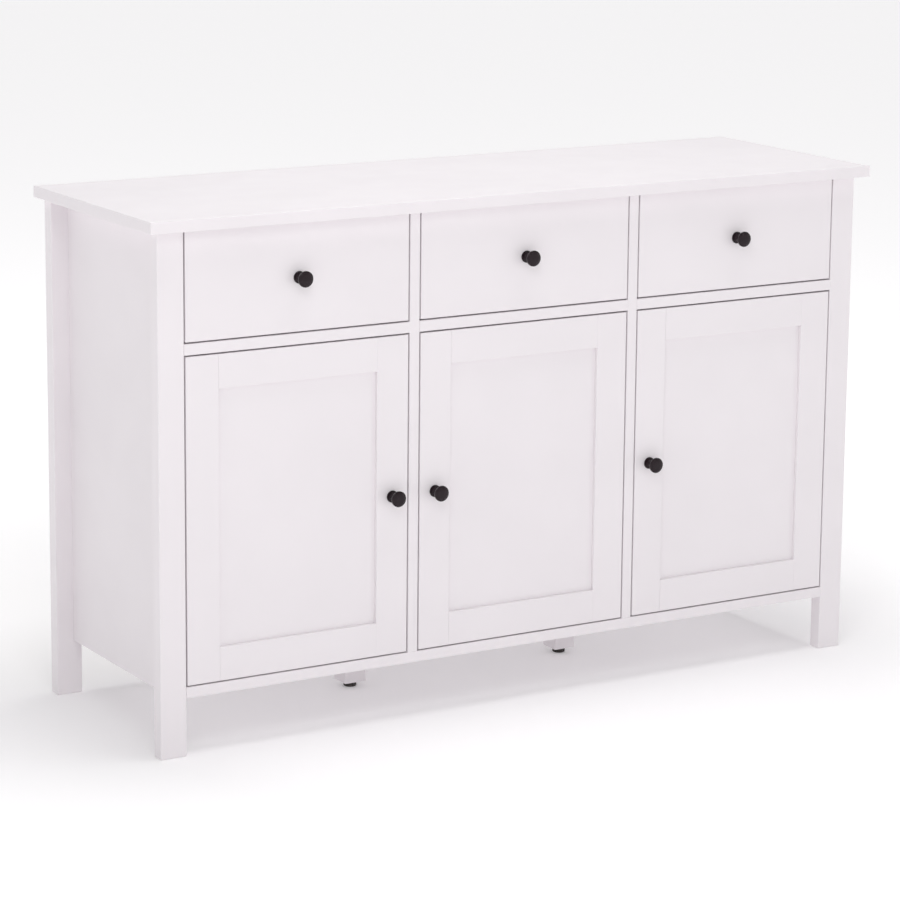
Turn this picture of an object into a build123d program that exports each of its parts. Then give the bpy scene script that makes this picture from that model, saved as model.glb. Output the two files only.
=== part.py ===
from build123d import *
from collections import namedtuple
import os

# A free-standing sideboard: three drawers over three cupboards, on four corner posts.
# Frame: X runs along the length, the doors face -Y, Z is up. The origin is on the floor, in
# the middle of the whole object's box, knobs included. All sizes are in millimetres.

# ---------------------------------------------------------------- driving dimensions
width = 1370.0  # top board, along X
depth = 440.0  # top board, front to back
height = 860.0  # floor to the top surface
side_overhang = 19.0  # top board past the posts
front_overhang = 19.0  # top board past the fronts

top_thickness = 19.0
board = 18.0  # partitions, mid boards, bottom board, fronts and door frames
side_panel_thickness = 15.0
shelf_thickness = 15.0
back_thickness = 3.0

post_width = 45.0  # along X
post_depth = 25.0  # along Y
bottom_lift = 95.0  # floor to the underside of the bottom board
side_panel_lift = 92.0  # floor to the lower edge of a side panel
back_inset = 12.0  # back of the posts to the back of the back panels
back_groove_depth = 6.0
back_edge_clearance = 0.5

gap = 2.5  # all round each door and drawer front
drawer_front_height = 173.0

stile_width = 57.0
rail_width = 55.0
door_panel_thickness = 6.0
door_panel_recess = 6.0  # frame face to panel face
door_groove_depth = 10.0
groove_end_clearance = 0.5  # edge of a panel or drawer bottom to the end of its groove
panel_face_clearance = 0.1

drawer_side_thickness = 15.0
drawer_side_height = 120.0
drawer_rear_gap = 38.0  # back of a closed drawer to the back panel
drawer_side_clearance = 4.0  # drawer side to the wall of its bay
drawer_lift = 14.0  # mid board to the lower edge of a drawer side
drawer_back_thickness = 12.0
drawer_back_drop = 6.0  # top of the sides to the top of the drawer's back
drawer_bottom_thickness = 3.0
drawer_bottom_lift = 12.0  # lower edge of a side to the drawer bottom
drawer_bottom_groove = 6.0
drawer_bottom_clearance = 0.1

guide_height = 16.0
guide_thickness = 10.0
guide_start = 40.0  # behind the fronts
guide_clearance = 0.5  # above, below and beside the guide in its groove
guide_end_clearance = 2.0  # guide to the back panel

shelf_setback = 42.0  # fronts to the shelf's front edge
shelf_side_clearance = 1.0
pin_radius = 2.5
pin_head_radius = 3.5
pin_head_length = 8.0
pin_hole_floor = 2.0  # wood left between the pin holes of two neighbouring bays
pin_front_inset = 70.0  # fronts to the front column of pin holes
pin_back_inset = 45.0  # back panel to the rear column
pin_pitch = 32.0
pin_rows = 5

leg_size = 40.0  # centre leg, square
leg_foot_height = 10.0
leg_foot_radius = 11.0
leg_stem_radius = 4.0
leg_stem_length = 25.0

knob_length = 26.0
knob_radius = 13.0
knob_base_radius = 10.0
knob_neck_radius = 5.0
knob_base_height = 1.6
knob_base_bevel = 1.2
knob_shoulder_level = 3.6  # where the neck starts, and how far it is from the base's edge
knob_shoulder_width = 1.6
knob_waist_level = 9.0
knob_head = 8.0  # thickness of the head
knob_head_bevel = 1.0
knob_rim = 3.0
knob_face_bevel = 2.0
knob_dome = 1.8
knob_screw_radius = 2.0
knob_screw_bite = 12.0
screw_head_radius = 4.0
screw_head_height = 2.5

hinge_end_inset = 80.0  # hinge centre to the end of its door
cup_radius = 17.5
cup_depth = 11.5
cup_offset = 1.0  # cup centre to the middle between the door's edge and the panel groove
cup_wall = 1.0
cup_flange_thickness = 1.4
cup_flange_length = 58.0
cup_flange_width = 16.0
link_reach = 7.0  # links past the back of the door
link_width = 8.0
link_height = 12.0
link_offset = 2.0  # cup centre to the links
cup_rim = 1.5  # flange round the cup's mouth
plate_thickness = 2.2
plate_centre = 64.0  # behind the fronts
plate_bar_width = 16.0
plate_bar_height = 48.0
plate_tongue_front = 18.0  # plate centre to the tongue's front end
plate_tongue_back = 24.0
plate_tongue_height = 18.0
arm_start = 36.0  # behind the fronts
arm_end = 90.0
arm_rise = 11.0  # wall to the arm's inner face
arm_height = 16.0
nose_near = 5.0  # wall to the near face of the arm's nose
nose_far = 16.0
nose_end = 44.0  # behind the fronts
nose_height = 14.0
arm_nose_clearance = 3.0  # back of the door to the arm

cam_radius = 7.5
cam_floor = 2.5  # thinnest board left under a cam
cam_recess_width = 1.6
cam_recess_depth = 1.5
cam_setback = 24.0  # joint face to the cam's centre
bolt_radius = 3.0
bolt_bite = 10.0
dowel_radius = 4.0
dowel_bite = 8.5
dowel_length = 30.0
peg_clearance = 0.1  # radial, round every cam, bolt, dowel and screw
back_screw_radius = 1.5
back_screw_length = 15.0
back_screw_edge = 5.0  # screw to the joint between two back panels
back_screw_end = 70.0  # end of a partition to its nearest screw
back_screw_rows = 5
back_screw_head_radius = 3.3
back_screw_head_height = 1.2

cam_front_inset = 60.0  # fronts to the front cams of the outer bays
cam_back_inset = 86.0  # back panel to their rear cams
cam_stagger = 30.0  # outer bays' cams to the centre bay's, so that bolts don't meet
dowel_stagger = 15.0  # middle of a board to a dowel, to the front or to the back
panel_cam_low = 68.0  # side panel's lower edge to its lowest cams
panel_cam_high = 56.0  # underside of the top to its highest cams

edge_round = 1.0
post_round = 1.5
frame_round = 0.8  # inner front edges of a door frame

# ---------------------------------------------------------------- levels and stations
knob_past_top = max(0.0, knob_length - front_overhang)
top_front = knob_past_top / 2 - depth / 2
top_back = top_front + depth
front = top_front + front_overhang  # plane of the posts, doors and drawer fronts
door_back = front + board
back_face = top_back - back_inset
board_back = back_face - back_thickness  # rear edge of the boards inside

underside = height - top_thickness
mid_top = underside - drawer_front_height - 2 * gap
mid_bottom = mid_top - board
bottom_top = bottom_lift + board
mid_level = (mid_top + mid_bottom) / 2
bottom_level = bottom_lift + board / 2
door_low = bottom_top + gap
door_high = mid_bottom - gap
drawer_low = mid_top + gap
drawer_high = underside - gap

inner_half = width / 2 - side_overhang - post_width  # middle to a post's inner face
bay_width = (2 * inner_half - 2 * board) / 3
bay_pitch = bay_width + board
front_width = bay_width - 2 * gap

cam_height = side_panel_thickness - cam_floor
pin_hole_depth = (board - pin_hole_floor) / 2
cup_edge_inset = (stile_width - door_groove_depth) / 2 - cup_offset
pin_level = (bottom_top + mid_bottom) / 2
drawer_length = board_back - door_back - drawer_rear_gap  # box behind the drawer front

BAYS = {"left": -1, "centre": 0, "right": 1}
HINGE_SIDE = {"left": -1, "centre": 1, "right": 1}
WALLS = {  # what stands on each side of a bay
    "left": {-1: "side_panel_left", 1: "partition_left"},
    "centre": {-1: "partition_left", 1: "partition_right"},
    "right": {-1: "partition_right", 1: "side_panel_right"},
}
PARTITIONS = {"left": -bay_pitch / 2, "right": bay_pitch / 2}
SIDES = {"left": -1, "right": 1}

Peg = namedtuple("Peg", "start direction length radius boards hole_length")
cams = []
bolts = []
dowels = []
back_screws = []


def bay_x(bay):
    """Middle of a bay."""
    return BAYS[bay] * bay_pitch


def block(xs, ys, zs, mode=Mode.ADD):
    """A box between two values on each axis, in the part being built."""
    with Locations((sum(xs) / 2, sum(ys) / 2, sum(zs) / 2)):
        return Box(abs(xs[1] - xs[0]), abs(ys[1] - ys[0]), abs(zs[1] - zs[0]), mode=mode)


def rod(start, direction, length, radius, mode=Mode.ADD):
    """A round bar from start along direction, in the part being built."""
    with Locations(Plane(origin=start, z_dir=direction)):
        return Cylinder(
            radius, length, align=(Align.CENTER, Align.CENTER, Align.MIN), mode=mode
        )


def add_cam_joint(point, into, face, thickness, boards):
    """A cam lock and its bolt: point is on the joint, into runs into the board with the cam."""
    point = Vector(*point)
    into = Vector(*into)
    face = Vector(*face)
    cam_face = point + into * cam_setback + face * (thickness / 2)
    bolt_start = point - into * bolt_bite
    to_cam = bolt_bite + cam_setback  # the bolt's hole opens into the cam's pocket
    bolt_length = to_cam - cam_radius - 2 * peg_clearance
    cams.append(Peg(cam_face, face * -1, cam_height, cam_radius, boards, cam_height))
    bolts.append(Peg(bolt_start, into, bolt_length, bolt_radius, boards, to_cam))


def add_dowel(point, into, bite, boards):
    """A wooden dowel across a joint: bite is its length on the far side of the point."""
    start = Vector(*point) - Vector(*into) * bite
    length = dowel_length
    dowels.append(Peg(start, Vector(*into), length, dowel_radius, boards, length))


def add_back_screw(x, z, board_name):
    """A screw through the back panels into the rear edge of a board."""
    length = back_screw_length
    boards = ("back_panels", board_name)
    start = Vector(x, back_face, z)
    back_screws.append(Peg(start, Vector(0, -1, 0), length, back_screw_radius, boards, length))


def drill(board_name):
    """Cut the holes for every fitting that enters this board."""
    for peg in cams + bolts + dowels + back_screws:
        if board_name in peg.boards:
            radius = peg.radius + peg_clearance
            rod(peg.start, peg.direction, peg.hole_length, radius, mode=Mode.SUBTRACT)


def finish(part, name):
    """Label a piece and write it to its own file."""
    part.label = name
    export_step(part, "parts/" + name + ".step")


# ---------------------------------------------------------------- where the fittings go


def stations(stagger):
    """Front and rear places of the cams in a board, moved inwards by stagger."""
    return (front + cam_front_inset + stagger, board_back - cam_back_inset - stagger)


board_middle = (front + board_back) / 2
outer_dowel_y = board_middle - dowel_stagger
inner_dowel_y = board_middle + dowel_stagger
upright_dowel_y = board_middle - 3 * dowel_stagger
lowest_cam = side_panel_lift + panel_cam_low
highest_cam = underside - panel_cam_high
panel_levels = (lowest_cam, pin_level, highest_cam)  # the middle cams hide behind the shelf
middle_y = (front + top_back) / 2
panel_mid = inner_half + side_panel_thickness / 2

for bay in BAYS:
    stagger = cam_stagger if bay == "centre" else 0.0
    dowel_y = inner_dowel_y if bay == "centre" else outer_dowel_y
    for side, wall in WALLS[bay].items():
        x = bay_x(bay) + side * bay_width / 2
        pair = ("mid_board_" + bay, wall)
        for y in stations(stagger):
            add_cam_joint((x, y, mid_level), (-side, 0, 0), (0, 0, -1), board, pair)
        add_dowel((x, dowel_y, mid_level), (-side, 0, 0), dowel_bite, pair)

for name, x in PARTITIONS.items():
    outward = (-1 if x < 0 else 1, 0, 0)
    partition = "partition_" + name
    for y in stations(cam_stagger / 2):
        foot_pair = (partition, "bottom_board")
        add_cam_joint((x, y, bottom_top), (0, 0, 1), outward, board, foot_pair)
        head_pair = (partition, "top_board")
        add_cam_joint((x, y, underside), (0, 0, -1), outward, board, head_pair)
    add_dowel((x, upright_dowel_y, bottom_top), (0, 0, 1), dowel_bite, foot_pair)
    add_dowel((x, upright_dowel_y, underside), (0, 0, -1), dowel_bite, head_pair)
    leg_pair = ("centre_leg_" + name, "bottom_board")
    add_dowel((x, middle_y, bottom_lift), (0, 0, -1), dowel_bite, leg_pair)

for name, side in SIDES.items():
    panel = "side_panel_" + name
    inward = (-side, 0, 0)
    for y in stations(0.0):
        joint = (side * inner_half, y, bottom_level)
        add_cam_joint(joint, inward, (0, 0, -1), board, ("bottom_board", panel))
    joint = (side * inner_half, outer_dowel_y, bottom_level)
    add_dowel(joint, inward, dowel_bite, ("bottom_board", panel))
    for y in stations(cam_stagger / 2):
        joint = (side * panel_mid, y, underside)
        pair = (panel, "top_board")
        add_cam_joint(joint, (0, 0, -1), inward, side_panel_thickness, pair)
    for end, y, into in (
        ("front", front + post_depth, (0, 1, 0)),
        ("back", top_back - post_depth, (0, -1, 0)),
    ):
        post = "post_" + end + "_" + name
        for z in panel_levels:
            joint = (side * panel_mid, y, z)
            add_cam_joint(joint, into, inward, side_panel_thickness, (panel, post))
        post_x = side * (inner_half + post_width / 2)
        post_y = y - into[1] * post_depth / 2
        add_dowel((post_x, post_y, underside), (0, 0, -1), dowel_bite, (post, "top_board"))

for name, x in PARTITIONS.items():
    for side in (-1, 1):
        for row in range(back_screw_rows):
            span = underside - bottom_top - 2 * back_screw_end
            z = bottom_top + back_screw_end + row * span / (back_screw_rows - 1)
            add_back_screw(x + side * back_screw_edge, z, "partition_" + name)
for bay in BAYS:
    for side in (-1, 1):
        x = bay_x(bay) + side * bay_width / 4
        add_back_screw(x, bottom_level, "bottom_board")
        add_back_screw(x, mid_level, "mid_board_" + bay)

os.makedirs("parts", exist_ok=True)

# ---------------------------------------------------------------- top board
with BuildPart() as top_board:
    block((-width / 2, width / 2), (top_front, top_back), (underside, height))
    fillet(top_board.edges(), edge_round)
    # groove for the top edge of the back panels, as long as the panels are wide
    block(
        (-inner_half - back_groove_depth, inner_half + back_groove_depth),
        (board_back, back_face),
        (underside, underside + back_groove_depth),
        mode=Mode.SUBTRACT,
    )
    drill("top_board")
finish(top_board.part, "top_board")

# ---------------------------------------------------------------- corner posts
for name, side in SIDES.items():
    for end, near in (("front", front), ("back", top_back - post_depth)):
        post_name = "post_" + end + "_" + name
        with BuildPart() as post:
            block(
                (side * inner_half, side * (inner_half + post_width)),
                (near, near + post_depth),
                (0, underside),
            )
            fillet(post.edges().filter_by(Axis.Z), post_round)
            chamfer(post.edges().group_by(Axis.Z)[0], edge_round)
            if end == "back":
                block(
                    (side * inner_half, side * (inner_half + back_groove_depth)),
                    (board_back, back_face),
                    (bottom_lift, underside),
                    mode=Mode.SUBTRACT,
                )
            drill(post_name)
        finish(post.part, post_name)


def pin_holes(x, outward, z_middle):
    """Two columns of holes for shelf pins in a wall at x, running along outward."""
    for y in (front + pin_front_inset, board_back - pin_back_inset):
        for row in range(pin_rows):
            z = z_middle + (row - (pin_rows - 1) / 2) * pin_pitch
            rod((x, y, z), outward, pin_hole_depth, pin_radius, mode=Mode.SUBTRACT)


# ---------------------------------------------------------------- side panels
for name, side in SIDES.items():
    panel_name = "side_panel_" + name
    with BuildPart() as side_panel:
        block(
            (side * inner_half, side * (inner_half + side_panel_thickness)),
            (front + post_depth, top_back - post_depth),
            (side_panel_lift, underside),
        )
        pin_holes(side * inner_half, (side, 0, 0), pin_level)
        drill(panel_name)
    finish(side_panel.part, panel_name)

# ---------------------------------------------------------------- partitions
for name, x in PARTITIONS.items():
    partition_name = "partition_" + name
    with BuildPart() as partition:
        block((x - board / 2, x + board / 2), (front, board_back), (bottom_top, underside))
        fillet(partition.edges().filter_by(Axis.Z).group_by(Axis.Y)[0], edge_round)
        for side in (-1, 1):
            pin_holes(x + side * board / 2, (-side, 0, 0), pin_level)
        drill(partition_name)
    finish(partition.part, partition_name)

# ---------------------------------------------------------------- boards between them
for bay in BAYS:
    board_name = "mid_board_" + bay
    with BuildPart() as mid_board:
        block(
            (bay_x(bay) - bay_width / 2, bay_x(bay) + bay_width / 2),
            (front, board_back),
            (mid_bottom, mid_top),
        )
        fillet(mid_board.edges().filter_by(Axis.X).group_by(Axis.Y)[0], edge_round)
        drill(board_name)
    finish(mid_board.part, board_name)

with BuildPart() as bottom_board:
    block((-inner_half, inner_half), (front, board_back), (bottom_lift, bottom_top))
    fillet(bottom_board.edges().filter_by(Axis.X).group_by(Axis.Y)[0], edge_round)
    drill("bottom_board")
finish(bottom_board.part, "bottom_board")

# ---------------------------------------------------------------- back panels
outer_edge = inner_half + back_groove_depth - back_edge_clearance
panel_edges = (
    -outer_edge,
    PARTITIONS["left"],
    PARTITIONS["right"],
    outer_edge,
)
with BuildPart() as back_panels:
    for index in range(3):
        low_edge = panel_edges[index] + (back_edge_clearance if index else 0)
        high_edge = panel_edges[index + 1] - (back_edge_clearance if index < 2 else 0)
        block(
            (low_edge, high_edge),
            (board_back, back_face),
            (bottom_lift, underside + back_groove_depth - back_edge_clearance),
        )
    drill("back_panels")
finish(back_panels.part, "back_panels")

# ---------------------------------------------------------------- shelves and their pins
shelf_bottom = pin_level + pin_head_radius
for bay in BAYS:
    with BuildPart() as shelf:
        reach = bay_width / 2 - shelf_side_clearance
        block(
            (bay_x(bay) - reach, bay_x(bay) + reach),
            (front + shelf_setback, board_back),
            (shelf_bottom, shelf_bottom + shelf_thickness),
        )
        fillet(shelf.edges().filter_by(Axis.X).group_by(Axis.Y)[0], edge_round)
    finish(shelf.part, "shelf_" + bay)

with BuildPart() as shelf_pins:
    for bay in BAYS:
        for side in (-1, 1):
            wall = bay_x(bay) + side * bay_width / 2
            for y in (front + pin_front_inset, board_back - pin_back_inset):
                peg_length = pin_hole_depth - peg_clearance
                seat = (wall, y, pin_level)
                rod(seat, (side, 0, 0), peg_length, pin_radius - peg_clearance)
                rod(seat, (-side, 0, 0), pin_head_length, pin_head_radius)
finish(shelf_pins.part, "shelf_pins")

# ---------------------------------------------------------------- centre legs
for name, x in PARTITIONS.items():
    leg_name = "centre_leg_" + name
    with BuildPart() as leg:
        block(
            (x - leg_size / 2, x + leg_size / 2),
            (middle_y - leg_size / 2, middle_y + leg_size / 2),
            (leg_foot_height, bottom_lift),
        )
        fillet(leg.edges().filter_by(Axis.Z), post_round)
        stem_hole = leg_stem_length + peg_clearance
        rod(
            (x, middle_y, leg_foot_height),
            (0, 0, 1),
            stem_hole,
            leg_stem_radius + peg_clearance,
            mode=Mode.SUBTRACT,
        )
        drill(leg_name)
    finish(leg.part, leg_name)

with BuildPart() as centre_feet:
    for x in PARTITIONS.values():
        rod((x, middle_y, 0), (0, 0, 1), leg_foot_height, leg_foot_radius)
        rod((x, middle_y, 0), (0, 0, 1), leg_foot_height + leg_stem_length, leg_stem_radius)
    chamfer(centre_feet.edges().group_by(Axis.Z)[0], edge_round)
finish(centre_feet.part, "centre_feet")

# ---------------------------------------------------------------- cams, bolts, dowels, screws
with BuildPart() as cam_locks:
    for peg in cams:
        rod(peg.start, peg.direction, peg.length, peg.radius)
        with Locations(Plane(origin=peg.start, z_dir=peg.direction)):
            recess = 2 * cam_recess_depth
            Box(cam_radius, cam_recess_width, recess, mode=Mode.SUBTRACT)
            Box(cam_recess_width, cam_radius, recess, mode=Mode.SUBTRACT)
finish(cam_locks.part, "cam_locks")

for name, pegs in (("cam_bolts", bolts), ("dowels", dowels)):
    with BuildPart() as fittings:
        for peg in pegs:
            rod(peg.start, peg.direction, peg.length, peg.radius)
    finish(fittings.part, name)

with BuildPart() as back_screw_set:
    for peg in back_screws:
        rod(peg.start, peg.direction, peg.length, peg.radius)
        head_start = peg.start - peg.direction * back_screw_head_height
        rod(head_start, peg.direction, back_screw_head_height, back_screw_head_radius)
finish(back_screw_set.part, "back_screws")

# ---------------------------------------------------------------- drawer guides
box_low = mid_top + drawer_lift
guide_level = box_low + drawer_side_height / 2
with BuildPart() as drawer_guides:
    for bay in BAYS:
        for side in (-1, 1):
            wall = bay_x(bay) + side * bay_width / 2
            block(
                (wall, wall - side * guide_thickness),
                (front + guide_start, board_back - guide_end_clearance),
                (guide_level - guide_height / 2, guide_level + guide_height / 2),
            )
finish(drawer_guides.part, "drawer_guides")


def knob_with_screw(x, z, seat, thickness):
    """A turned knob standing on the plane y = seat, and the screw that holds it from behind."""
    base_edge = (knob_base_radius, -knob_base_height)
    base_top = (knob_base_radius - knob_base_bevel, -knob_base_height - knob_base_bevel)
    shoulder = (knob_neck_radius + knob_shoulder_width, -knob_shoulder_level)
    waist = (knob_neck_radius, -knob_waist_level)
    head_back = knob_head - knob_length
    head_low = (knob_radius - knob_head_bevel, head_back)
    rim_low = (knob_radius, head_back - knob_head_bevel)
    rim_high = (knob_radius, rim_low[1] - knob_rim)
    face_edge = (knob_radius - knob_face_bevel, knob_dome - knob_length)
    with BuildPart() as knob:
        with BuildSketch(Plane(origin=(x, seat, z), x_dir=(1, 0, 0), z_dir=(0, 0, 1))):
            with BuildLine():
                Polyline((0, 0), (knob_base_radius, 0), base_edge, base_top, shoulder)
                ThreePointArc(shoulder, waist, head_low)
                Polyline(head_low, rim_low, rim_high, face_edge)
                TangentArc((0, -knob_length), face_edge, tangent=(1, 0))
                Line((0, -knob_length), (0, 0))
            make_face()
        revolve(axis=Axis((x, seat, z), (0, 1, 0)))
        rod(
            (x, seat, z),
            (0, -1, 0),
            knob_screw_bite + peg_clearance,
            knob_screw_radius + peg_clearance,
            mode=Mode.SUBTRACT,
        )
    with BuildPart() as screw:
        back = seat + thickness
        rod((x, back, z), (0, -1, 0), thickness + knob_screw_bite, knob_screw_radius)
        rod((x, back, z), (0, 1, 0), screw_head_height, screw_head_radius)
        fillet(screw.edges().group_by(Axis.Y)[-1], edge_round)
    with BuildPart() as pair:
        add(knob.part)
        add(screw.part)
    return pair.part


def screw_hole(x, z):
    """The hole for a knob's screw, right through a front."""
    rod((x, front, z), (0, 1, 0), board, knob_screw_radius + peg_clearance, mode=Mode.SUBTRACT)


# ---------------------------------------------------------------- doors
for bay in BAYS:
    hinge_side = HINGE_SIDE[bay]
    low_x = bay_x(bay) - front_width / 2
    high_x = bay_x(bay) + front_width / 2
    hinge_edge = bay_x(bay) + hinge_side * front_width / 2
    cup_x = hinge_edge - hinge_side * cup_edge_inset
    cup_levels = (door_low + hinge_end_inset, door_high - hinge_end_inset)
    knob_x = bay_x(bay) - hinge_side * (front_width / 2 - stile_width / 2)
    knob_z = (door_low + door_high) / 2
    groove_ys = (
        front + door_panel_recess,
        front + door_panel_recess + door_panel_thickness,
    )

    with BuildPart() as stiles:
        for side in (-1, 1):
            edge = bay_x(bay) + side * front_width / 2
            inner = edge - side * stile_width
            block((edge, inner), (front, door_back), (door_low, door_high))
        upright_edges = stiles.edges().filter_by(Axis.Z)
        front_edges = upright_edges.group_by(Axis.Y)[0].sort_by(Axis.X)
        outer_edges = upright_edges.group_by(Axis.X)[0] + upright_edges.group_by(Axis.X)[-1]
        fillet(outer_edges, edge_round)
        fillet(front_edges[1:3], frame_round)
        for side in (-1, 1):
            inner = bay_x(bay) + side * (front_width / 2 - stile_width)
            block(
                (inner, inner + side * door_groove_depth),
                groove_ys,
                (door_low, door_high),
                mode=Mode.SUBTRACT,
            )
        for z in cup_levels:
            rod(
                (cup_x, door_back, z),
                (0, -1, 0),
                cup_depth + peg_clearance,
                cup_radius + peg_clearance,
                mode=Mode.SUBTRACT,
            )
        screw_hole(knob_x, knob_z)
    finish(stiles.part, "door_stiles_" + bay)

    opening = (low_x + stile_width, high_x - stile_width)
    with BuildPart() as rails:
        for low_z, inner_z, out in (
            (door_low, door_low + rail_width, -1),
            (door_high, door_high - rail_width, 1),
        ):
            block(opening, (front, door_back), (low_z, inner_z))
            rail_edges = rails.edges(Select.LAST).filter_by(Axis.X).group_by(Axis.Y)[0]
            fillet(rail_edges.sort_by(Axis.Z)[-1 if out < 0 else 0], frame_round)
            tongue = (opening[0] - door_groove_depth, opening[1] + door_groove_depth)
            block(tongue, groove_ys, (low_z, inner_z))
            block(
                tongue,
                groove_ys,
                (inner_z, inner_z + out * door_groove_depth),
                mode=Mode.SUBTRACT,
            )
    finish(rails.part, "door_rails_" + bay)

    tuck = door_groove_depth - groove_end_clearance
    with BuildPart() as door_panel:
        block(
            (opening[0] - tuck, opening[1] + tuck),
            (groove_ys[0] + panel_face_clearance, groove_ys[1] - panel_face_clearance),
            (door_low + rail_width - tuck, door_high - rail_width + tuck),
        )
    finish(door_panel.part, "door_panel_" + bay)

    finish(knob_with_screw(knob_x, knob_z, front, board), "door_knob_" + bay)

    with BuildPart() as cups:
        for z in cup_levels:
            rod((cup_x, door_back, z), (0, -1, 0), cup_depth, cup_radius)
            block(
                (cup_x - cup_flange_width / 2, cup_x + cup_flange_width / 2),
                (door_back, door_back + cup_flange_thickness),
                (z - cup_flange_length / 2, z + cup_flange_length / 2),
            )
            rod((cup_x, door_back, z), (0, 1, 0), cup_flange_thickness, cup_radius + cup_rim)
            rod(
                (cup_x, door_back + cup_flange_thickness, z),
                (0, -1, 0),
                cup_depth + cup_flange_thickness - cup_wall,
                cup_radius - 2 * cup_wall,
                mode=Mode.SUBTRACT,
            )
            link_near = cup_x - hinge_side * link_offset
            block(
                (link_near, link_near - hinge_side * link_width),
                (door_back - cup_depth, door_back + link_reach),
                (z - link_height / 2, z + link_height / 2),
            )
    finish(cups.part, "hinge_cups_" + bay)

# ---------------------------------------------------------------- hinge plates and arms
plate_y = front + plate_centre
with BuildPart() as hinge_plates:
    for bay in BAYS:
        wall = bay_x(bay) + HINGE_SIDE[bay] * bay_width / 2
        skin = (wall, wall - HINGE_SIDE[bay] * plate_thickness)
        for z in (door_low + hinge_end_inset, door_high - hinge_end_inset):
            block(
                skin,
                (plate_y - plate_bar_width / 2, plate_y + plate_bar_width / 2),
                (z - plate_bar_height / 2, z + plate_bar_height / 2),
            )
            block(
                skin,
                (plate_y - plate_tongue_front, plate_y + plate_tongue_back),
                (z - plate_tongue_height / 2, z + plate_tongue_height / 2),
            )
finish(hinge_plates.part, "hinge_plates")

with BuildPart() as hinge_arms:
    for bay in BAYS:
        inward = -HINGE_SIDE[bay]
        wall = bay_x(bay) - inward * bay_width / 2
        for z in (door_low + hinge_end_inset, door_high - hinge_end_inset):
            block(
                (wall + inward * plate_thickness, wall + inward * arm_rise),
                (front + arm_start, front + arm_end),
                (z - arm_height / 2, z + arm_height / 2),
            )
            block(
                (wall + inward * nose_near, wall + inward * nose_far),
                (door_back + arm_nose_clearance, front + nose_end),
                (z - nose_height / 2, z + nose_height / 2),
            )
finish(hinge_arms.part, "hinge_arms")

# ---------------------------------------------------------------- drawers
for bay in BAYS:
    middle = bay_x(bay)
    box_half = bay_width / 2 - drawer_side_clearance
    box_inner = box_half - drawer_side_thickness
    box_back = door_back + drawer_length
    floor_low = box_low + drawer_bottom_lift
    floor_high = floor_low + drawer_bottom_thickness
    groove_low = floor_low - drawer_bottom_clearance
    groove_high = floor_high + drawer_bottom_clearance
    knob_z = (drawer_low + drawer_high) / 2

    with BuildPart() as drawer_front:
        block(
            (middle - front_width / 2, middle + front_width / 2),
            (front, door_back),
            (drawer_low, drawer_high),
        )
        fillet(drawer_front.edges(), edge_round)
        block(
            (middle - box_inner, middle + box_inner),
            (door_back - drawer_bottom_groove, door_back),
            (groove_low, groove_high),
            mode=Mode.SUBTRACT,
        )
        screw_hole(middle, knob_z)
    finish(drawer_front.part, "drawer_front_" + bay)

    with BuildPart() as drawer_sides:
        for side in (-1, 1):
            outer = middle + side * box_half
            inner = middle + side * box_inner
            block((outer, inner), (door_back, box_back), (box_low, box_low + drawer_side_height))
            bite = guide_thickness - drawer_side_clearance + guide_clearance
            block(
                (outer, outer - side * bite),
                (front + guide_start - guide_clearance, box_back),
                (
                    guide_level - guide_height / 2 - guide_clearance,
                    guide_level + guide_height / 2 + guide_clearance,
                ),
                mode=Mode.SUBTRACT,
            )
            block(
                (inner, inner + side * drawer_bottom_groove),
                (door_back, box_back),
                (groove_low, groove_high),
                mode=Mode.SUBTRACT,
            )
    finish(drawer_sides.part, "drawer_sides_" + bay)

    with BuildPart() as drawer_back:
        block(
            (middle - box_inner, middle + box_inner),
            (box_back - drawer_back_thickness, box_back),
            (groove_high, box_low + drawer_side_height - drawer_back_drop),
        )
    finish(drawer_back.part, "drawer_back_" + bay)

    floor_tuck = drawer_bottom_groove - groove_end_clearance
    with BuildPart() as drawer_bottom:
        block(
            (middle - box_inner - floor_tuck, middle + box_inner + floor_tuck),
            (door_back, box_back),
            (floor_low, floor_high),
        )
        block(
            (middle - box_inner + groove_end_clearance, middle + box_inner - groove_end_clearance),
            (door_back - floor_tuck, door_back),
            (floor_low, floor_high),
        )
    finish(drawer_bottom.part, "drawer_bottom_" + bay)

    finish(knob_with_screw(middle, knob_z, front, board), "drawer_knob_" + bay)
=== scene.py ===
import math
from typing import NamedTuple

import bmesh
import bpy
from bpy.props import FloatProperty, FloatVectorProperty, IntProperty, PointerProperty
from mathutils import Matrix, Vector


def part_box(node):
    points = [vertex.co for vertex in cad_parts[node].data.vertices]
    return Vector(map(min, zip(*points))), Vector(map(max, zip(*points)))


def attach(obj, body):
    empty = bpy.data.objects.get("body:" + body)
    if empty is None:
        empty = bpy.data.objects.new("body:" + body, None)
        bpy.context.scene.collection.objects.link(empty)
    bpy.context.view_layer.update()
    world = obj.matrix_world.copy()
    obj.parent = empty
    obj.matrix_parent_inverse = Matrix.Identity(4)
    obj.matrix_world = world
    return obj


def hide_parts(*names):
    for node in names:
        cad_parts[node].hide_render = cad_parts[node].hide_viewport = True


bl_info = {
    "name": "White Sideboard",
    "version": (1, 0, 0),
    "blender": (4, 5, 0),
    "location": "View3D > Sidebar > Sideboard",
    "description": "Finishes a lacquered sideboard with turned knobs, cup hinges and fittings",
    "category": "Object",
}

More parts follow.
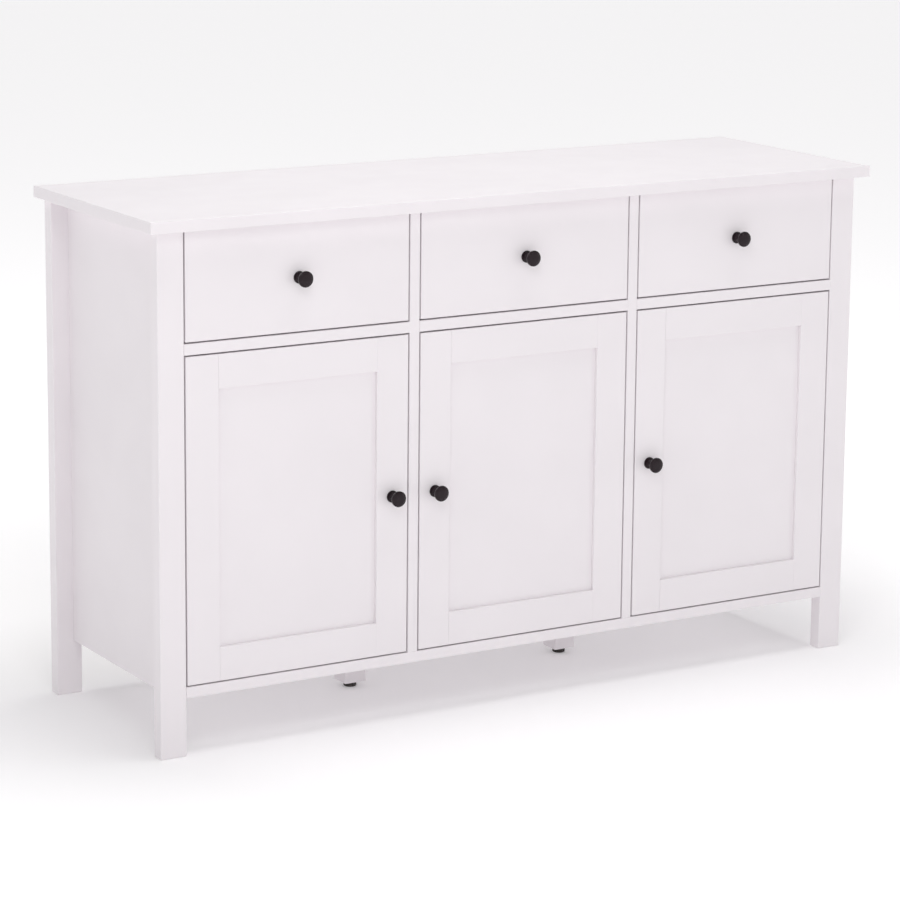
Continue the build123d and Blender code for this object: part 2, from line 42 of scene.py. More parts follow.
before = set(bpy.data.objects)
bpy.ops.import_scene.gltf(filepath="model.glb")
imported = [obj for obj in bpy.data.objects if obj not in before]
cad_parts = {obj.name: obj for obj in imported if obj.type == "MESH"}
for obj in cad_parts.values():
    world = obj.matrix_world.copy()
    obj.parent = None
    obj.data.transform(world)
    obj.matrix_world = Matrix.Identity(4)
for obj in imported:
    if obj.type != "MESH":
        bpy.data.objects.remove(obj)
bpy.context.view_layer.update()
MM = 0.001
BAYS = ("left", "centre", "right")
FRONT_BODIES = tuple(kind + bay for kind in ("door_", "drawer_") for bay in BAYS)
WELD = 1e-6  # corners nearer than this, in metres, are one


def linear(hex_colour):
    """An sRGB hex colour as the linear red, green and blue that shaders work in."""
    values = [int(hex_colour[i : i + 2], 16) / 255 for i in (1, 3, 5)]
    return tuple(v / 12.92 if v <= 0.04045 else ((v + 0.055) / 1.055) ** 2.4 for v in values)


# ------------------------------------------------------------------ settings
def colour(name, description, hex_colour):
    """A colour that the user can change."""
    return FloatVectorProperty(
        name=name, description=description, subtype="COLOR", default=linear(hex_colour),
        min=0.0, max=1.0,
    )


def length(name, description, millimetres):
    """A length that the user can change, given in millimetres and held in metres."""
    return FloatProperty(
        name=name, description=description, unit="LENGTH", default=millimetres * MM, min=0.0
    )


class SideboardFinishes(bpy.types.PropertyGroup):
    """Colours of the sideboard's materials."""

    lacquer: colour("Lacquer", "Sprayed white lacquer on the boards", "#F0EBEE")
    foil: colour("Foil", "Melamine foil on the drawer boxes", "#ECE8E6")
    hardboard: colour("Hardboard", "Painted face of the thin back panels", "#E4DFDA")
    knob: colour("Knobs", "Baked black lacquer on the knobs", "#20141A")
    nickel: colour("Nickel", "Nickel plate on hinges and shelf pins", "#D6D2CB")
    zinc: colour("Zinc", "Zinc plate on screws and cam locks", "#B9BBBE")
    beech_light: colour("Beech, light", "Early wood of the beech guides", "#DDB98C")
    beech_dark: colour("Beech, dark", "Pores and late wood of the beech guides", "#B98D5E")
    foot: colour("Feet", "Moulded plastic of the centre feet", "#2C2725")


class SideboardKnobs(bpy.types.PropertyGroup):
    """Sizes of the turned knobs that the CAD boxes don't give."""

    base_radius: length("Base radius", "Radius of the round base", 10.0)
    neck_radius: length("Neck radius", "Narrowest radius of the neck", 5.0)
    rim: length("Rim", "Height of the head's straight rim", 2.6)
    bevel: length("Bevel", "Width of the bevels on the head's rim", 1.3)
    segments: IntProperty(name="Segments", description="Steps round a knob", default=64, min=12)


class SideboardHinges(bpy.types.PropertyGroup):
    """Sizes of the concealed cup hinges."""

    cup_radius: length("Cup radius", "Radius of the pressed cup", 17.5)
    flange: length("Flange", "Thickness of the cup's flange", 1.4)
    ear_width: length("Ear width", "Width of the flange's ears", 16.0)
    ear_inset: length("Ear inset", "Screw to the end of an ear", 6.0)
    link_gap: length("Link gap", "Space between the hinge's two links", 5.0)


class SideboardFittings(bpy.types.PropertyGroup):
    """Sizes of the screws, cam locks, shelf pins and feet."""

    screw_radius: length("Screw head", "Radius of a small screw head", 3.3)
    screw_height: length("Screw height", "Height of a small screw head", 1.2)
    recess: length("Recess", "Width of a cross recess", 0.9)
    cam_radius: length("Cam radius", "Radius of a cam lock", 7.4)
    pin_radius: length("Pin radius", "Radius of a shelf pin's head", 3.5)
    foot_ribs: IntProperty(name="Foot ribs", description="Ribs round a foot", default=20, min=3)


class SideboardStage(bpy.types.PropertyGroup):
    """Camera, light and floor."""

    camera: FloatVectorProperty(
        name="Camera", description="Place of the camera", subtype="TRANSLATION",
        default=(-2.810, -4.665, 1.637),
    )
    turn: FloatProperty(
        name="Turn", description="Camera's turn to the right of straight ahead",
        subtype="ANGLE", default=math.radians(30.83),
    )
    tilt: FloatProperty(
        name="Tilt", description="Camera's tilt below the horizon",
        subtype="ANGLE", default=math.radians(11.34),
    )
    roll: FloatProperty(
        name="Roll", description="Camera's roll", subtype="ANGLE", default=math.radians(0.53)
    )
    lens: FloatProperty(name="Lens", description="Focal length in mm", default=131.2, min=10)
    rise: FloatProperty(
        name="Rise", description="Vertical lens shift, which keeps the posts nearly upright",
        default=-0.1,
    )
    walls: FloatProperty(
        name="Walls", description="Brightness near eye level", default=0.97, min=0
    )
    sky: FloatProperty(name="Sky", description="Brightness higher up", default=0.28, min=0)
    glow: FloatProperty(name="Glow", description="Glow of the floor nearby", default=0.16, min=0)
    horizon: FloatProperty(name="Horizon", description="Glow far away", default=0.53, min=0)
    above: FloatProperty(name="Above", description="Power of the light above", default=74.0, min=0)
    main: FloatProperty(name="Main", description="Power of the main light", default=10.8, min=0)
    key: FloatProperty(name="Key", description="Power of the key light", default=1.6, min=0)
    floor: colour("Floor", "Pale studio floor", "#F8F7F8")
    glow_start: length("Glow start", "Where the floor's glow starts to change", 700.0)
    glow_end: length("Glow end", "Where the floor's glow is that of far away", 2200.0)
    walls_top: FloatProperty(
        name="Top of the walls", description="Sine of the height where the walls end", default=0.28
    )
    ceiling: FloatProperty(
        name="Ceiling", description="Sine of the height where the sky's brightness is reached",
        default=0.5,
    )


SETTINGS = {
    "sideboard_finishes": SideboardFinishes,
    "sideboard_knobs": SideboardKnobs,
    "sideboard_hinges": SideboardHinges,
    "sideboard_fittings": SideboardFittings,
    "sideboard_stage": SideboardStage,
}


def settings(kind):
    """The scene's own settings of one kind."""
    return getattr(bpy.context.scene, kind)


# ------------------------------------------------------------------ nodes and materials
STUDIO_WHITE = (1.0, 0.995, 1.0, 1.0)
USUAL = (0.3, 0.7)  # nearly all values of a noise lie between these


class Pattern(NamedTuple):
    """A noise with features of a real size, drawn out along Y where its share is below 1."""

    size_mm: float
    detail: float = 2.0
    coarseness: float = 0.5
    drawn_out: float = 1.0


def add_node(tree, kind, options=None, inputs=None):
    """Adds a node: options are its attributes, inputs its sockets, each a value or a link."""
    node = tree.nodes.new(kind)
    for name, value in (options or {}).items():
        setattr(node, name, value)
    for name, value in (inputs or {}).items():
        if isinstance(value, bpy.types.NodeSocket):
            tree.links.new(value, node.inputs[name])
        else:
            node.inputs[name].default_value = value
    return node


def two_shades(rgb, share):
    """A colour, and the same colour brought down by a share of itself, or up if negative."""
    return tuple(rgb), tuple(v * (1.0 - share) for v in rgb)


def finish(name, shades, patterns, tint, gloss=None, relief=None, constants=None):
    """A material whose colour, roughness and relief each follow one of its named patterns.

    tint lists patterns, each with the values where the first and the second shade lie and its
    share in the mix. gloss is a pattern with the roughness at its low and high end. relief is a
    pattern with its depth in mm and its strength. constants are set on the shader itself.
    """
    material = bpy.data.materials.get(name)
    if material is not None:
        return material
    material = bpy.data.materials.new(name)
    material.use_nodes = True
    tree = material.node_tree
    tree.nodes.clear()
    place = add_node(tree, "ShaderNodeTexCoord").outputs["Object"]
    noises = {}
    for label, pattern in patterns.items():
        stretched = add_node(
            tree, "ShaderNodeMapping",
            inputs={"Vector": place, "Scale": (1.0, pattern.drawn_out, 1.0)},
        )
        noises[label] = add_node(
            tree, "ShaderNodeTexNoise",
            inputs={
                "Vector": stretched.outputs[0], "Scale": 1.0 / (pattern.size_mm * MM),
                "Detail": pattern.detail, "Roughness": pattern.coarseness,
            },
        ).outputs["Fac"]
    factor = 0.0
    for label, start, end, share in tint:
        ramp = add_node(
            tree, "ShaderNodeMapRange", inputs={0: noises[label], 1: start, 2: end}
        ).outputs[0]
        factor = add_node(
            tree, "ShaderNodeMath", {"operation": "MULTIPLY_ADD"}, {0: ramp, 1: share, 2: factor}
        ).outputs[0]
    mixed = add_node(
        tree, "ShaderNodeMix", {"data_type": "RGBA"},
        {0: factor, 6: (*shades[0], 1.0), 7: (*shades[1], 1.0)},
    ).outputs[2]
    inputs = {"Base Color": mixed, **(constants or {})}
    if gloss:
        label, smoothest, roughest = gloss
        inputs["Roughness"] = add_node(
            tree, "ShaderNodeMapRange",
            inputs={0: noises[label], 1: USUAL[0], 2: USUAL[1], 3: smoothest, 4: roughest},
        ).outputs[0]
    if relief:
        label, depth_mm, strength = relief
        inputs["Normal"] = add_node(
            tree, "ShaderNodeBump",
            inputs={"Height": noises[label], "Distance": depth_mm * MM, "Strength": strength},
        ).outputs["Normal"]
    shader = add_node(tree, "ShaderNodeBsdfPrincipled", inputs=inputs)
    add_node(tree, "ShaderNodeOutputMaterial", inputs={"Surface": shader.outputs["BSDF"]})
    return material


def lacquered_mdf():
    """Sprayed white lacquer on MDF: satin, very slightly uneven, with a fine orange peel."""
    # The peel is drawn about twice as coarse as real, so that it shows.
    return finish(
        "lacquered_mdf", two_shades(settings("sideboard_finishes").lacquer, 0.025),
        {"cloud": Pattern(180.0), "peel": Pattern(2.2), "film": Pattern(45.0, detail=3.0)},
        tint=[("cloud", *USUAL, 1.0)], gloss=("film", 0.36, 0.46), relief=("peel", 0.02, 0.5),
        constants={"IOR": 1.48},
    )


def melamine_foil():
    """White melamine foil on drawer boxes: a printed, faintly embossed grain along the board."""
    return finish(
        "melamine_foil", two_shades(settings("sideboard_finishes").foil, 0.05),
        {"grain": Pattern(1.6, detail=4.0, drawn_out=0.06)},
        tint=[("grain", 0.35, 0.7, 1.0)], gloss=("grain", 0.42, 0.55), relief=("grain", 0.05, 0.4),
    )


def painted_hardboard():
    """Thin hardboard with a rolled coat of off-white paint: matt, with pressed fibres showing."""
    return finish(
        "painted_hardboard", two_shades(settings("sideboard_finishes").hardboard, 0.09),
        {"fibres": Pattern(3.0, detail=6.0, coarseness=0.65), "patches": Pattern(90.0)},
        tint=[("fibres", 0.52, 0.72, 1.0)], gloss=("patches", 0.62, 0.75),
        relief=("fibres", 0.12, 0.6),
    )


def baked_black():
    """Black lacquer baked on cast zinc alloy: satin, with the cast skin just showing through."""
    # The skin is drawn coarser than real, so that it shows.
    return finish(
        "baked_black_lacquer", two_shades(settings("sideboard_finishes").knob, -0.5),
        {"skin": Pattern(0.8, detail=3.0), "wear": Pattern(6.0, detail=3.0)},
        tint=[("wear", 0.55, 0.75, 1.0)], gloss=("wear", 0.16, 0.26), relief=("skin", 0.02, 0.3),
        constants={"IOR": 1.45, "Specular IOR Level": 0.30},
    )


def plated_steel(name, rgb, marks_mm, smoothest, roughest):
    """Plated pressed steel: bright metal with fine rolling marks and an uneven gloss."""
    # The marks are drawn coarser than real, so that they show.
    return finish(
        name, two_shades(rgb, 0.05),
        {"marks": Pattern(marks_mm, drawn_out=0.12), "haze": Pattern(12.0)},
        tint=[("haze", *USUAL, 1.0)], gloss=("marks", smoothest, roughest),
        relief=("marks", 0.004, 0.12), constants={"Metallic": 1.0},
    )


def nickel_plate():
    """Nickel on hinges and shelf pins: warm and bright, with a soft polish."""
    rgb = settings("sideboard_finishes").nickel
    return plated_steel("nickel_plated_steel", rgb, 0.8, 0.22, 0.30)


def zinc_plate():
    """Zinc on screws and cam locks: bluish grey and duller than the nickel."""
    rgb = settings("sideboard_finishes").zinc
    return plated_steel("zinc_plated_steel", rgb, 0.6, 0.34, 0.46)


def beech():
    """Planed beech: straight grain along Y, with the short dark flecks of its rays."""
    finishes = settings("sideboard_finishes")
    return finish(
        "planed_beech", (tuple(finishes.beech_light), tuple(finishes.beech_dark)),
        {
            "grain": Pattern(2.4, detail=5.0, drawn_out=0.05),
            "flecks": Pattern(0.7, drawn_out=0.22),
        },
        tint=[("grain", 0.3, 0.75, 1.0), ("flecks", 0.6, 0.72, 0.35)],
        gloss=("grain", 0.45, 0.6), relief=("grain", 0.06, 0.6),
    )


def moulded_plastic():
    """Dark moulded polyamide: matt, with the fine spark-eroded grain of its mould."""
    # The grain is drawn coarser than real, so that it shows.
    return finish(
        "moulded_polyamide", two_shades(settings("sideboard_finishes").foot, -0.8),
        {"grit": Pattern(0.6), "scuff": Pattern(5.0, detail=3.0)},
        tint=[("scuff", 0.5, 0.75, 1.0)], gloss=("scuff", 0.45, 0.6), relief=("grit", 0.04, 0.6),
    )


def studio_floor(stage):
    """Seamless pale studio paper: matt, and lit from within so that it stays white far away."""
    paper = finish(
        "studio_paper", two_shades(stage.floor, 0.01), {"tooth": Pattern(30.0, detail=3.0)},
        tint=[("tooth", *USUAL, 1.0)],
        constants={
            "Roughness": 0.9, "Specular IOR Level": 0.1, "Emission Color": STUDIO_WHITE,
        },
    )
    tree = paper.node_tree
    place = add_node(tree, "ShaderNodeTexCoord").outputs["Object"]
    reach = add_node(tree, "ShaderNodeVectorMath", {"operation": "LENGTH"}, {0: place})
    glow = add_node(
        tree, "ShaderNodeMapRange",
        inputs={
            0: reach.outputs["Value"], 1: stage.glow_start, 2: stage.glow_end,
            3: stage.glow, 4: stage.horizon,
        },
    )
    shader = next(node for node in tree.nodes if node.type == "BSDF_PRINCIPLED")
    tree.links.new(glow.outputs[0], shader.inputs["Emission Strength"])
    return paper


def coat(thing, material):
    """Gives every face of an object one material."""
    thing.data.materials.clear()
    thing.data.materials.append(material)


# ------------------------------------------------------------------ mesh helpers
def piece(name, mesh, material, body, replaced=()):
    """A finished mesh as a named piece that rides on a body and may stand for CAD nodes."""
    made = bpy.data.objects.new(name, mesh)
    bpy.context.scene.collection.objects.link(made)
    coat(made, material)
    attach(made, body)
    if replaced:
        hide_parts(*replaced)


def close(shape, name, sharp_degrees=35.0):
    """Welds a bmesh, points its faces outwards and shades it smooth but for its sharp edges."""
    bmesh.ops.remove_doubles(shape, verts=shape.verts, dist=WELD)
    bmesh.ops.recalc_face_normals(shape, faces=shape.faces)
    for face in shape.faces:
        face.smooth = True
    for edge in shape.edges:
        bend = math.degrees(edge.calc_face_angle(0.0))
        edge.smooth = len(edge.link_faces) == 2 and bend < sharp_degrees
    mesh = bpy.data.meshes.new(name)
    shape.to_mesh(mesh)
    shape.free()
    return mesh


def lathe(shape, profile, place, segments):
    """Turns (radius, height) points round the Z axis of place, with a pole where radius is 0."""
    rings = []
    for radius, height in profile:
        if radius == 0.0:
            rings.append([shape.verts.new(place @ Vector((0, 0, height)))])
            continue
        ring = []
        for step in range(segments):
            angle = 2 * math.pi * step / segments
            at = Vector((radius * math.cos(angle), radius * math.sin(angle), height))
            ring.append(shape.verts.new(place @ at))
        rings.append(ring)
    for low, high in zip(rings, rings[1:]):
        for step in range(segments):
            after = (step + 1) % segments
            if len(low) == 1 and len(high) == 1:
                continue
            if len(low) == 1:
                shape.faces.new((low[0], high[after], high[step]))
            elif len(high) == 1:
                shape.faces.new((low[step], low[after], high[0]))
            else:
                shape.faces.new((low[step], low[after], high[after], high[step]))


def arc(centre, radius, start, end, steps):
    """Points on a circle, angles in degrees."""
    angles = [math.radians(start + (end - start) * i / steps) for i in range(steps + 1)]
    return [(centre[0] + radius * math.cos(a), centre[1] + radius * math.sin(a)) for a in angles]


def plate(shape, outline, low, high, place, bevel):
    """A flat plate: a closed outline in the XY of place, from low to high along its Z."""
    part = bmesh.new()
    bottom = [part.verts.new(Vector((x, y, low))) for x, y in outline]
    top = [part.verts.new(Vector((x, y, high))) for x, y in outline]
    part.faces.new(bottom)
    part.faces.new(top)
    for index in range(len(outline)):
        after = (index + 1) % len(outline)
        part.faces.new((bottom[index], bottom[after], top[after], top[index]))
    bmesh.ops.recalc_face_normals(part, faces=part.faces)
    rims = [edge for edge in part.edges if math.degrees(edge.calc_face_angle(0.0)) > 40]
    bmesh.ops.bevel(
        part, geom=rims, offset=bevel, offset_type="OFFSET", segments=2, profile=0.5,
        affect="EDGES", clamp_overlap=True,
    )
    bmesh.ops.transform(part, matrix=place, verts=part.verts)
    scratch = bpy.data.meshes.new("scratch")
    part.to_mesh(scratch)
    part.free()
    shape.from_mesh(scratch)
    bpy.data.meshes.remove(scratch)


def facing(point, direction, up=(0, 0, 1)):
    """A frame at point whose Z looks along direction and whose Y is near up."""
    z = Vector(direction).normalized()
    x = Vector(up).cross(z).normalized()
    y = z.cross(x)
    turn = Matrix((x, y, z)).transposed().to_4x4()
    return Matrix.Translation(Vector(point)) @ turn


def islands(node):
    """The lowest and highest corners of each separate solid in a CAD node, in a fixed order."""
    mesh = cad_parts[node].data
    shape = bmesh.new()
    shape.from_mesh(mesh)
    bmesh.ops.remove_doubles(shape, verts=shape.verts, dist=WELD)
    seen = set()
    found = []
    for start in shape.verts:
        if start in seen:
            continue
        group = []
        waiting = [start]
        seen.add(start)
        while waiting:
            vert = waiting.pop()
            group.append(vert.co.copy())
            for edge in vert.link_edges:
                other = edge.other_vert(vert)
                if other not in seen:
                    seen.add(other)
                    waiting.append(other)
        low = Vector([min(co[i] for co in group) for i in range(3)])
        high = Vector([max(co[i] for co in group) for i in range(3)])
        found.append((low, high))
    shape.free()
    return sorted(found, key=lambda pair: tuple(round(v, 4) for v in pair[0]))


def middle(pair):
    """The middle of a box given by its lowest and highest corners."""
    return (pair[0] + pair[1]) / 2


# ------------------------------------------------------------------ geometry nodes
FITTING_SIZES = (
    "Head Radius", "Head Height", "Bevel", "Stem Radius", "Stem Length",
    "Recess Width", "Recess Length", "Recess Depth",
)
TOP_FACING = 0.9  # a face whose normal rises more than this is the top of a head
SPIN_SEED = 7


def fitting_tree():
    """A turned fitting with a stem, a bevelled head and a cross recess, set on every point."""
    name = "turned_fitting"
    tree = bpy.data.node_groups.get(name)
    if tree is not None:
        return tree
    tree = bpy.data.node_groups.new(name, "GeometryNodeTree")
    sockets = tree.interface
    sockets.new_socket("Geometry", in_out="INPUT", socket_type="NodeSocketGeometry")
    for size in FITTING_SIZES:
        sockets.new_socket(size, in_out="INPUT", socket_type="NodeSocketFloat")
    sockets.new_socket("Segments", in_out="INPUT", socket_type="NodeSocketInt")
    sockets.new_socket("Material", in_out="INPUT", socket_type="NodeSocketMaterial")
    sockets.new_socket("Geometry", in_out="OUTPUT", socket_type="NodeSocketGeometry")
    given = add_node(tree, "NodeGroupInput").outputs
    sums = {
        "stem middle": ("MULTIPLY", given["Stem Length"], -0.5),
        "flare": ("DIVIDE", given["Head Radius"], given["Stem Radius"]),
        "straight": ("SUBTRACT", given["Head Height"], given["Bevel"]),
        "rim": ("SUBTRACT", given["Head Radius"], given["Bevel"]),
        "cutter": ("MULTIPLY", given["Recess Depth"], 2.0),
    }
    results = {
        label: add_node(
            tree, "ShaderNodeMath", {"operation": operation}, {0: first, 1: second}
        ).outputs[0]
        for label, (operation, first, second) in sums.items()
    }
    narrowing = add_node(
        tree, "ShaderNodeMath", {"operation": "DIVIDE"},
        {0: results["rim"], 1: given["Head Radius"]},
    ).outputs[0]

    stem = add_node(
        tree, "GeometryNodeMeshCylinder", {"fill_type": "NGON"},
        {
            "Vertices": given["Segments"], "Radius": given["Stem Radius"],
            "Depth": given["Stem Length"],
        },
    ).outputs["Mesh"]
    down = add_node(tree, "ShaderNodeCombineXYZ", inputs={"Z": results["stem middle"]})
    shape = add_node(
        tree, "GeometryNodeTransform",
        inputs={"Geometry": stem, "Translation": down.outputs[0]},
    ).outputs[0]
    normal = add_node(tree, "GeometryNodeInputNormal").outputs["Normal"]
    upward = add_node(tree, "ShaderNodeSeparateXYZ", inputs={0: normal}).outputs["Z"]
    top = add_node(
        tree, "FunctionNodeCompare", {"operation": "GREATER_THAN"}, {0: upward, 1: TOP_FACING}
    ).outputs[0]
    steps = (
        (0.0, results["flare"]), (results["straight"], 1.0), (given["Bevel"], narrowing),
    )
    for rise, scale in steps:
        up = add_node(tree, "ShaderNodeCombineXYZ", inputs={"Z": rise})
        drawn = add_node(
            tree, "GeometryNodeExtrudeMesh", {"mode": "FACES"},
            {
                "Mesh": shape, "Selection": top, "Offset": up.outputs[0],
                "Offset Scale": 1.0, "Individual": False,
            },
        )
        top = drawn.outputs["Top"]
        shape = add_node(
            tree, "GeometryNodeScaleElements", {"domain": "FACE"},
            {"Geometry": drawn.outputs["Mesh"], "Selection": top, "Scale": scale},
        ).outputs[0]

    head_top = add_node(tree, "ShaderNodeCombineXYZ", inputs={"Z": given["Head Height"]})
    for x, y in (("Recess Length", "Recess Width"), ("Recess Width", "Recess Length")):
        size = add_node(
            tree, "ShaderNodeCombineXYZ",
            inputs={"X": given[x], "Y": given[y], "Z": results["cutter"]},
        )
        bar = add_node(tree, "GeometryNodeMeshCube", inputs={"Size": size.outputs[0]})
        cutter = add_node(
            tree, "GeometryNodeTransform",
            inputs={"Geometry": bar.outputs["Mesh"], "Translation": head_top.outputs[0]},
        )
        shape = add_node(
            tree, "GeometryNodeMeshBoolean", {"operation": "DIFFERENCE", "solver": "EXACT"},
            {"Mesh 1": shape, "Mesh 2": cutter.outputs[0]},
        ).outputs["Mesh"]

    direction = add_node(
        tree, "GeometryNodeInputNamedAttribute", {"data_type": "FLOAT_VECTOR"},
        {"Name": "direction"},
    ).outputs["Attribute"]
    turn = add_node(
        tree, "FunctionNodeAlignRotationToVector", {"axis": "Z"}, {"Vector": direction}
    ).outputs[0]
    spin = add_node(
        tree, "FunctionNodeRandomValue", {"data_type": "FLOAT"},
        {2: 0.0, 3: math.pi, 8: SPIN_SEED},
    ).outputs[1]
    own_spin = add_node(
        tree, "FunctionNodeAxisAngleToRotation", inputs={"Axis": (0, 0, 1), "Angle": spin}
    ).outputs[0]
    placed = add_node(
        tree, "FunctionNodeRotateRotation", {"rotation_space": "LOCAL"},
        {"Rotation": turn, "Rotate By": own_spin},
    ).outputs[0]
    copies = add_node(
        tree, "GeometryNodeInstanceOnPoints",
        inputs={"Points": given["Geometry"], "Instance": shape, "Rotation": placed},
    ).outputs[0]
    real = add_node(tree, "GeometryNodeRealizeInstances", inputs={"Geometry": copies}).outputs[0]
    coated = add_node(
        tree, "GeometryNodeSetMaterial",
        inputs={"Geometry": real, "Material": given["Material"]},
    ).outputs[0]
    add_node(tree, "NodeGroupOutput", inputs={"Geometry": coated})
    return tree


def fittings(name, points, sizes, material, body, replaced=(), segments=24):
    """One plain mesh of like fittings, each given by its seat and the way its head points."""
    seeds = bpy.data.meshes.new("seeds")
    seeds.from_pydata([tuple(seat) for seat, _ in points], [], [])
    directions = seeds.attributes.new("direction", "FLOAT_VECTOR", "POINT")
    directions.data.foreach_set("vector", [value for _, aim in points for value in aim])
    holder = bpy.data.objects.new("holder", seeds)
    bpy.context.scene.collection.objects.link(holder)
    tree = fitting_tree()
    modifier = holder.modifiers.new("fittings", "NODES")
    modifier.node_group = tree
    sockets = {s.name: s.identifier for s in tree.interface.items_tree if s.in_out == "INPUT"}
    for label, value in {**sizes, "Segments": segments, "Material": material}.items():
        modifier[sockets[label]] = value
    holder.update_tag()
    bpy.context.view_layer.update()
    graph = bpy.context.evaluated_depsgraph_get()
    mesh = bpy.data.meshes.new_from_object(holder.evaluated_get(graph))
    holder.modifiers.remove(modifier)
    bpy.data.objects.remove(holder)
    shape = bmesh.new()
    shape.from_mesh(mesh)
    bpy.data.meshes.remove(mesh)
    piece(name, close(shape, name), material, body, replaced)


def fitting_sizes(head, stem, recess):
    """The tree's sizes: head radius, height and bevel; stem radius and length; recess width,
    length and depth.
    """
    return dict(zip(FITTING_SIZES, (*head, *stem, *recess)))


def hinge_screw():
    """Sizes of the short countersunk screws of cups, plates and arms."""
    sizes = settings("sideboard_fittings")
    return fitting_sizes(
        head=(sizes.screw_radius, sizes.screw_height, 0.6 * MM), stem=(1.6 * MM, 6.0 * MM),
        recess=(sizes.recess, sizes.screw_radius * 1.3, 0.8 * MM),
    )


# ------------------------------------------------------------------ operators
UPRIGHTS = ("side_panel_left", "side_panel_right", "partition_left", "partition_right")
LACQUERED = (
    "top_board", "post_front_left", "post_front_right", "post_back_left", "post_back_right",
    *UPRIGHTS, "mid_board_left", "mid_board_centre", "mid_board_right", "bottom_board",
    "shelf_left", "shelf_centre", "shelf_right", "centre_leg_left", "centre_leg_right",
)
BACKWARDS = Vector((0, 1, 0))
FORWARDS = Vector((0, -1, 0))
UP = Vector((0, 0, 1))


def nearest_wall(place):
    """The face of an upright board nearest to a place: its X, and the way it looks along X."""
    boxes = [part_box(node) for node in UPRIGHTS]
    faces = [(high.x, 1.0) for _, high in boxes] + [(low.x, -1.0) for low, _ in boxes]
    return min(faces, key=lambda face: abs(face[0] - place.x))


class SIDEBOARD_OT_boards(bpy.types.Operator):
    """Sprayed white lacquer on the carcass boards, posts, shelves, doors and drawer fronts"""

    bl_idname = "sideboard.boards"
    bl_label = "Lacquered boards"

    def execute(self, context):
        fronts = [
            part + bay
            for part in ("door_stiles_", "door_rails_", "door_panel_", "drawer_front_")
            for bay in BAYS
        ]
        for node in (*LACQUERED, *fronts):
            coat(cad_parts[node], lacquered_mdf())
        return {"FINISHED"}


class SIDEBOARD_OT_drawer_boxes(bpy.types.Operator):
    """Melamine foil on the drawer boxes, painted hardboard on their bottoms and the back"""

    bl_idname = "sideboard.drawer_boxes"
    bl_label = "Drawer boxes and back panels"

    def execute(self, context):
        for bay in BAYS:
            coat(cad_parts["drawer_sides_" + bay], melamine_foil())
            coat(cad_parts["drawer_back_" + bay], melamine_foil())
            coat(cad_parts["drawer_bottom_" + bay], painted_hardboard())
        coat(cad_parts["back_panels"], painted_hardboard())
        return {"FINISHED"}


class SIDEBOARD_OT_guides(bpy.types.Operator):
    """Planed beech guides with softened edges, each held by three screws, and beech dowels"""

    bl_idname = "sideboard.guides"
    bl_label = "Drawer guides and dowels"

    def execute(self, context):
        softened = 1.2 * MM
        sunk = 0.4 * MM
        along_y = Matrix(((0, 0, 1, 0), (1, 0, 0, 0), (0, 1, 0, 0), (0, 0, 0, 1)))
        shape = bmesh.new()
        screws = []
        for low, high in islands("drawer_guides"):
            outline = [(low.y, low.z), (high.y, low.z), (high.y, high.z), (low.y, high.z)]
            plate(shape, outline, low.x, high.x, along_y, softened)
            seat = middle((low, high))
            _, inward = nearest_wall(seat)
            seat.x = (high.x if inward > 0 else low.x) - inward * sunk
            for share in (0.1, 0.5, 0.9):
                seat.y = low.y + (high.y - low.y) * share
                screws.append((seat.copy(), Vector((inward, 0, 0))))
        name = "beech_guides"
        wood = close(shape, name)
        piece(name, wood, beech(), "carcass", ("drawer_guides",))
        fitting = settings("sideboard_fittings")
        sizes = fitting_sizes(
            head=(fitting.screw_radius, 0.6 * MM, 0.3 * MM), stem=(1.6 * MM, 6.0 * MM),
            recess=(fitting.recess, fitting.screw_radius * 1.2, 0.5 * MM),
        )
        fittings("guide_screws", screws, sizes, zinc_plate(), "carcass")
        coat(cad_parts["dowels"], beech())
        return {"FINISHED"}


